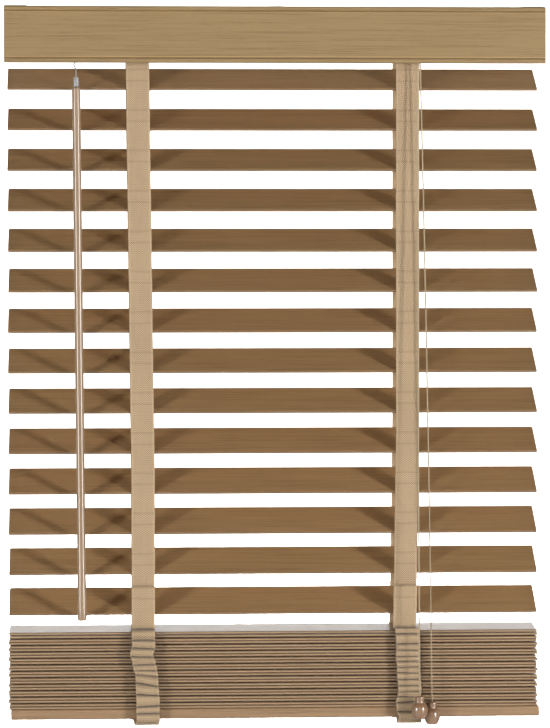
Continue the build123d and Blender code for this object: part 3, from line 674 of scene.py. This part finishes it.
def hanging_rows(side, tape, sway, top, foot, stations, depth_at):
    """Rows of one tape between two heights. side is -1 in front, 1 behind."""
    rows = []
    travelled = 0.0
    before = None
    for step in range(stations + 1):
        height = top + (foot - top) * step / stations
        pitch_place = ((first_slat - height) / slat_pitch) % 1.0
        ripple = 0.0002 * (1 + sin(2 * pi * pitch_place)) if height < -0.07 else 0.0
        x = tape + sway(height) + 0.00035 * noise.noise(Vector((tape * 9, side * 3, height * 30)))
        middle = Vector((x, side * (depth_at(height) + ripple), height))
        twist = radians(2.2 * noise.noise(Vector((tape * 5, side * 7, height * 9))))
        across = Vector((cos(twist), side * sin(twist), 0))
        if before:
            travelled += (middle - before).length
        before = middle
        rows.append((middle, across, Vector((0, side, 0)), travelled, 0.0))
    return rows


def hanging_depth(height):
    return drum_face + (tape_face - drum_face) * min(1.0, (drum_height - height) / 0.028)


def left_sway(height):
    return -0.0048 + 0.0052 * min(1.0, max(0.0, (-0.06 - height) / 0.45))


def right_sway(height):
    return 0.0002 - 0.0036 * min(1.0, max(0.0, (-0.45 - height) / 0.24)) ** 1.3


for side_name, tape, sway in (("left", -tape_x, left_sway), ("right", tape_x, right_sway)):
    for face_name, side, ride_end in (("front", -1, -0.6828), ("rear", 1, -0.6596)):
        face_body = f"{face_name}_tapes"
        for part, top, foot, stations, depth_at, body in (
                ("tape", drum_height, ride_end, 150, hanging_depth, face_body),
                ("tape_foot", foot_start, foot_end, 14, lambda height: foot_face, "stack")):
            rows = hanging_rows(side, tape, sway, top, foot, stations, depth_at)
            name = f"{face_name}_{part}_{side_name}"
            ribbon = add_piece(name, ribbon_mesh(name, rows, tape_thick), tape_finish, body)
            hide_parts("gathered_tapes" if body == "stack" else face_body)
            if body == face_body:
                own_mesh(ribbon)

# ------------------------------------------------------------------ Rungs
# Narrow woven straps, two to a tape, that run under each slat from the front
# tape to the rear one and carry it.
rung_finish = woven_tape("rung_cloth", (0.56, 0.41, 0.25), (0.26, 0.18, 0.10))
for number in range(1, 15):
    turn = radians(slat_tilts[number - 1])
    slat_across = Vector((0, cos(turn), sin(turn)))
    slat_up = Vector((0, -sin(turn), cos(turn)))
    height = first_slat - slat_pitch * (number - 1)
    mesh = bpy.data.meshes.new(f"rungs_{number:02d}_straps")
    corners, faces, weave = [], [], []
    for tape in (-tape_x, tape_x):
        for offset in (-0.008, 0.008):
            columns = 4
            rows = 20
            base = len(corners)
            for row in range(rows + 1):
                reach = -0.0255 + 0.0497 * row / rows
                lift = -0.00205 + (0.0004 if abs(reach) > 0.0245 else 0)
                for face_side in (1, -1):
                    for column in range(columns + 1):
                        share = column / columns - 0.5
                        corners.append(Vector((tape + offset + share * 0.004, 0, height)) + slat_across * reach +
                                       slat_up * (lift + face_side * 0.00025))
                        weave.append((share * 0.004 + 0.002, reach, 0.0))
            width = 2 * (columns + 1)
            for row in range(rows):
                low, high = base + row * width, base + (row + 1) * width
                for column in range(columns):
                    faces.append((low + column, low + column + 1, high + column + 1, high + column))
                    back = columns + 1 + column
                    faces.append((high + back, high + back + 1, low + back + 1, low + back))
                faces.append((low + columns, low + 2 * columns + 1, high + 2 * columns + 1, high + columns))
                faces.append((high, high + columns + 1, low + columns + 1, low))
            for row in (0, rows):
                first = base + row * width
                ring = list(range(first, first + columns + 1)) + \
                    list(range(first + 2 * columns + 1, first + columns, -1))
                faces.append(tuple(reversed(ring)) if row == 0 else tuple(ring))
    mesh.from_pydata(corners, [], faces)
    mesh.attributes.new("weave", "FLOAT_VECTOR", "POINT").data.foreach_set(
        "vector", [value for row in weave for value in row])
    straps = add_piece(f"rungs_{number:02d}_straps", mesh, rung_finish, f"slat_{number:02d}")
    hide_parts(f"rungs_{number:02d}")

# ------------------------------------------------------------------ Pleated slack
# The spare length of each tape lies in soft uneven pleats before and behind the stack,
# doubled up and down behind each lip. The ladder keeps its pitch all the way down, so
# the slack is one pitch for every gathered slat. The last pleat turns in under the rail.
gathered_slats = 24
slack_length = gathered_slats * slat_pitch
pleat_heights = {"left": [12.0, 9.4, 9.8, 9.0, 7.2, 5.6, 10.4, 12.0, 13.5, 7.8, 10.5],
                 "right": [6.4, 11.6, 7.3, 7.2, 5.8, 6.2, 6.6, 7.4, 7.2, 6.6, 6.2, 5.6, 11.4, 9.6]}
pleat_plies, pleat_thick = 10, 0.00048
lip_round, lip_foot, face_stations, turn_drop = 0.35, 0.92, 13, 0.03


def lip_out(share):
    """How far out a pleat's face stands, 0 to 1, from its rounded top to its foot."""
    return sqrt(1 - max(0.0, 1 - share / lip_round) ** 2.3) * (0.94 + 0.06 * sin(pi * share))


def pleat_places(deep, fullness):
    """(share of the height, depth, painted fold shade) along one pleat: over its face, then up and down behind it."""
    places = []
    for step in range(face_stations + 1):
        share = lip_foot * step / face_stations
        # Painted shade: darker under the lip above and towards the foot of the face.
        places.append((share, deep * lip_out(share), (1 - lip_out(share)) ** 0.8 + 0.45 * max(0.0, share - 0.45)))
    layer = deep / (pleat_plies + 1)
    for ply in reversed(range(pleat_plies)):
        depth = layer * (ply + 0.5)
        reach = min(0.999, (depth + layer) / (0.94 * deep))
        top = lip_round * (1 - (1 - reach ** 2) ** (1 / 2.3)) + 0.05
        top += (1 - fullness) * (lip_foot - top)
        rising = ply % 2 == 1
        turn = lip_foot + turn_drop if rising else top - turn_drop
        ends = (lip_foot - turn_drop, top) if rising else (top, lip_foot - turn_drop)
        # The plies hidden behind the lip get nearly full painted shade.
        places.append((turn, depth + layer / 2, 0.9))
        places += [(share, depth, 0.9) for share in ends]
    return places


def pleat_rows(side, tape, heights, shifts, slants, depths, fullness):
    """Rows down through the pleats, round the sagging loop and in under the rail."""
    rows = []
    top, foot, near = -0.6928, -0.7960, 0.0268
    height = top
    for fold, tall in enumerate(heights):
        tall *= (top - foot) / sum(heights)
        for share, depth, painted_crease_shade in pleat_places(depths[fold % len(depths)], fullness):
            blend = min(1.0, max(0.0, share * 2))
            x_now = shifts[fold] * blend + shifts[max(fold - 1, 0)] * (1 - blend)
            slant = radians(slants[fold] * blend + slants[max(fold - 1, 0)] * (1 - blend))
            middle = Vector((tape + x_now / 1000, side * (near + depth), height - tall * share))
            rows.append((middle, Vector((cos(slant), 0, sin(slant))), painted_crease_shade))
        height -= tall
    # The loop under the rail gets light painted shade.
    loop = [(0.0262, -0.7968), (0.0266, -0.7984), (0.0258, -0.7998), (0.0240, -0.8003), (0.0218, -0.7996),
            (0.0196, -0.7978), (0.0176, -0.7960), (0.0150, -0.7947), (0.0118, -0.7943), (0.0080, -0.7943)]
    for number, (depth, z) in enumerate(loop):
        fade = 1 - number / (len(loop) - 1)
        rows.append((Vector((tape + shifts[-1] / 1000 * fade, side * depth, z)), Vector((1, 0, 0)), 0.2))
    finished = []
    travelled = 0.0
    for number, (middle, across, painted_crease_shade) in enumerate(rows):
        before = rows[max(number - 1, 0)][0]
        travelled += (middle - before).length
        outward = (rows[min(number + 1, len(rows) - 1)][0] - before).cross(across) * side
        finished.append((middle, across, outward.normalized(), travelled, painted_crease_shade))
    return finished


def slack_rows(*shape):
    """Pleats that hold the whole slack: the plies behind each lip are lengthened until they do."""
    short, full = 0.2, 1.0
    for _ in range(20):
        fullness = (short + full) / 2
        rows = pleat_rows(*shape, fullness)
        if rows[-1][3] < slack_length:
            short = fullness
        else:
            full = fullness
    return rows


pleat_shapes = {
    ("left", -1): ([0.3, 0.6, -1.6, 0.8, 2.2, 3.6, 4.2, 4.8, 5.4, 5.2, 5.4],
                   [0, -3, -2, 2, 1, -6, -11, -4, 4, 1, -1], [8.2, 9.4, 10.2, 9.6, 8.8, 7.6, 9.2, 10.2]),
    ("right", -1): ([-1.6, -0.9, -0.5, -0.9, -0.9, 0.5, 0.2, 0.6, 1.4, 1.8, 1.0, -0.8, -0.4, 2.2],
                    [0, 1, -1, 1, 0, 2, -2, 1, -1, 2, -3, 3, -2, 1],
                    [6.8, 7.5, 7.0, 7.6, 7.2, 7.6, 7.3, 7.9, 7.5, 8.1, 7.7, 8.2, 7.9, 8.1]),
    ("left", 1): ([0, 1, -0.5, 0.6, 0.2, 1.1, 0.3, 0.8, -0.3, 0.5, 0.2],
                  [1, -1, 2, -2, 1, -1, 2, -2, 1, -1, 0], [9.4, 8.6, 9.8]),
    ("right", 1): ([0, -1, 0.5, -0.6, 0.2, -0.9, 0.3, -0.8, 0.3, -0.5, 0.6, -0.2, 0.4, 0],
                   [-1, 1, -2, 2, -1, 1, -2, 2, -1, 1, -1, 1, -1, 0], [9.0, 9.8, 8.6]),
}
for side_name, tape in (("left", -tape_x), ("right", tape_x)):
    for face_name, side in (("front", -1), ("rear", 1)):
        shifts, slants, depths = pleat_shapes[side_name, side]
        rows = slack_rows(side, tape, pleat_heights[side_name], shifts, slants, [value / 1000 for value in depths])
        name = f"{face_name}_pleats_{side_name}"
        pleats = add_piece(name, ribbon_mesh(name, rows, pleat_thick, columns=8), tape_finish, "stack")
        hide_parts("gathered_tapes")

# ------------------------------------------------------------------ Lift cords inside the blind
# Each cord is knotted under the rail and climbs through every slat, then turns
# over its cradle's bar and runs along the headrail, past the lock, to the guide.
for side_name, x, y in (("left", -0.148, 0.0008), ("right", 0.148, -0.0008)):
    drop = [Vector((x, y, -0.041 - 0.7498 * step / 40)) for step in range(41)]
    cord = add_piece(f"lift_cord_drop_{side_name}", tube_mesh(f"lift_cord_drop_{side_name}", drop, 0.0007, 10),
                     cord_finish)
    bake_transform(cord)
    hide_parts("lift_cords")
headrail_runs = {
    "left": [(-0.148, 0.0008, -0.0412), (-0.148, 0.0008, -0.0388), (-0.1455, 0.0008, -0.03875),
             (0.1450, 0.0008, -0.03875), (0.1748, 0.0008, -0.03875), (0.1748, -0.0060, -0.03875),
             (0.1748, -0.0346, -0.03875), (0.1610, -0.0330, -0.0485), (0.1610, -0.0330, -0.0533)],
    "right": [(0.148, -0.0008, -0.0412), (0.148, -0.0008, -0.0388), (0.1505, -0.0008, -0.03875),
              (0.1650, -0.0008, -0.03875), (0.1732, -0.0008, -0.03875), (0.1732, -0.0060, -0.03875),
              (0.1732, -0.0322, -0.03875), (0.1574, -0.0330, -0.0485), (0.1574, -0.0330, -0.0533)],
}
for side_name, route in headrail_runs.items():
    points = cord_points(cord_line(f"headrail_line_{side_name}", route))
    run = add_piece(f"lift_cord_run_{side_name}", tube_mesh(f"lift_cord_run_{side_name}", points, 0.0007, 10),
                    cord_finish, "frame")

# ------------------------------------------------------------------ Tilt wand
# A turned gloss-lacquered stick hangs from a bent wire hook. A clear moulded
# ferrule joins the wire to the stick's tenon; the hook sits in the worm's eye.
eye = Vector((-0.2211, -0.03325, -0.044))
wand_foot = Vector((-0.2156, -0.0370, -0.682))
wand_axis = (wand_foot - eye).normalized()
wand_long = (wand_foot - eye).length
wand_turn = Vector((0, 0, -1)).rotation_difference(wand_axis).to_matrix().to_4x4()
wand_frame = Matrix.Translation(eye) @ wand_turn

wand_finish, start = start_finish("gloss_wand_wood")
place = rest_place(start)
figure = mottle(start, place, (220, 220, 5), detail=5.0)
fibre = mottle(start, place, (1500, 1500, 25), detail=3.0)
tone = (figure * 1.6 - 0.3).between((0.28, 0.17, 0.09), (0.48, 0.33, 0.205))
end_finish(start, colour=(fibre.above(0.5, 0.72) * 0.5).between(tone, (0.24, 0.135, 0.07)),
           roughness=0.30 + fibre * 0.08, coat=1.0, coat_roughness=0.16, coat_ior=1.5,
           normal=bumped(start, fibre, 0.00005))
foot = -1000 * wand_long
stick = [(0.05, -41.2), (1.7, -41.2), (2.0, -41.5), (2.0, -46.7), (3.3, -46.7), (3.9, -46.9), (4.4, -47.4),
         (4.75, -48.2), (4.8, -49.4)]
stick += [(4.8, -49.4 + (foot + 62 + 49.4) * step / 24) for step in range(1, 25)]
stick += [(4.85, foot + 52), (5.1, foot + 36), (5.35, foot + 22), (5.4, foot + 12), (5.4, foot + 4.5),
          (5.3, foot + 2.4), (5.0, foot + 1.1), (4.4, foot + 0.3), (3.4, foot), (0.05, foot)]
mesh = turned_mesh("wand_stick", stick, (0, 0, 0), 40)
mesh.transform(wand_frame)
wand = add_piece("wand_stick", mesh, wand_finish, "wand")
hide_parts("wand")

ferrule_finish, start = start_finish("clear_ferrule")
haze = mottle(start, rest_place(start), (900, 900, 300))
end_finish(start, colour=haze.between((0.80, 0.82, 0.82), (0.93, 0.94, 0.94)), roughness=0.12 + haze * 0.1,
           see_through=0.75, ior=1.46, normal=bumped(start, haze, 0.00008))
nodes["wand_ferrule"].data.materials.clear()
nodes["wand_ferrule"].data.materials.append(ferrule_finish)


def worn_metal(name, base, dark, smoothness=0.28):
    """Plated or cast metal with fine brushing and duller patches."""
    finish, start = start_finish(name)
    place = rest_place(start)
    patches = mottle(start, place, (60, 60, 60))
    brushing = mottle(start, place, (120, 3000, 3000), detail=2.0)
    end_finish(start, colour=(patches * 0.6 + brushing * 0.4).between(dark, base), metallic=1.0,
               roughness=smoothness + patches * 0.18, normal=bumped(start, brushing, 0.00002))
    return finish


zinc_finish = worn_metal("zinc_plate", (0.62, 0.62, 0.61), (0.40, 0.40, 0.40))
wire_finish = worn_metal("hook_wire", (0.34, 0.32, 0.29), (0.12, 0.11, 0.10), 0.22)
nodes["wand_hook"].data.materials.clear()
nodes["wand_hook"].data.materials.append(wire_finish)

# ------------------------------------------------------------------ Headrail and brackets
# Folded sheet steel in cream baked enamel: a U-shaped channel in two box
# brackets, each with a gate that drops in at the front.
enamel_finish, start = start_finish("cream_enamel")
place = rest_place(start)
peel = mottle(start, place, (420, 420, 420), detail=2.0)
dust = mottle(start, place, (9, 9, 30))
end_finish(start, colour=dust.between((0.66, 0.61, 0.51), (0.76, 0.72, 0.62)), roughness=0.34 + dust * 0.12,
           coat=0.15, coat_roughness=0.2, normal=bumped(start, peel, 0.00005))
for name in ("headrail", "bracket_left", "bracket_right", "gate_left", "gate_right"):
    nodes[name].data.materials.clear()
    nodes[name].data.materials.append(enamel_finish)

# ------------------------------------------------------------------ Works in the headrail
# Zinc-plated hexagonal rod, lock frame and worm, brass lock rollers, and moulded
# acetal drums, cradles, worm wheel and tilter case; clear clips hold the valance.
acetal_finish, start = start_finish("white_acetal")
place = rest_place(start)
bloom = mottle(start, place, (35, 35, 35))
texture = mottle(start, place, (1800, 1800, 1800), detail=2.0)
end_finish(start, colour=bloom.between((0.74, 0.73, 0.69), (0.83, 0.82, 0.79)), roughness=0.42 + texture * 0.12,
           normal=bumped(start, texture, 0.00004))
brass_finish = worn_metal("turned_brass", (0.80, 0.60, 0.28), (0.52, 0.36, 0.14), 0.24)
clip_finish, start = start_finish("clear_clip")
haze = mottle(start, rest_place(start), (300, 300, 300))
end_finish(start, colour=haze.between((0.84, 0.86, 0.86), (0.95, 0.96, 0.96)), roughness=0.10 + haze * 0.12,
           see_through=0.97, ior=1.49)
for finish, names in ((acetal_finish, ("cradle_left", "cradle_right", "tilter_case", "drums", "worm_wheel")),
                      (zinc_finish, ("tilt_rod", "tilter_worm", "lock_frame", "cord_guide")),
                      (brass_finish, ("lock_pulley", "lock_roller")),
                      (clip_finish, ("valance_clips",))):
    for name in names:
        nodes[name].data.materials.clear()
        nodes[name].data.materials.append(finish)
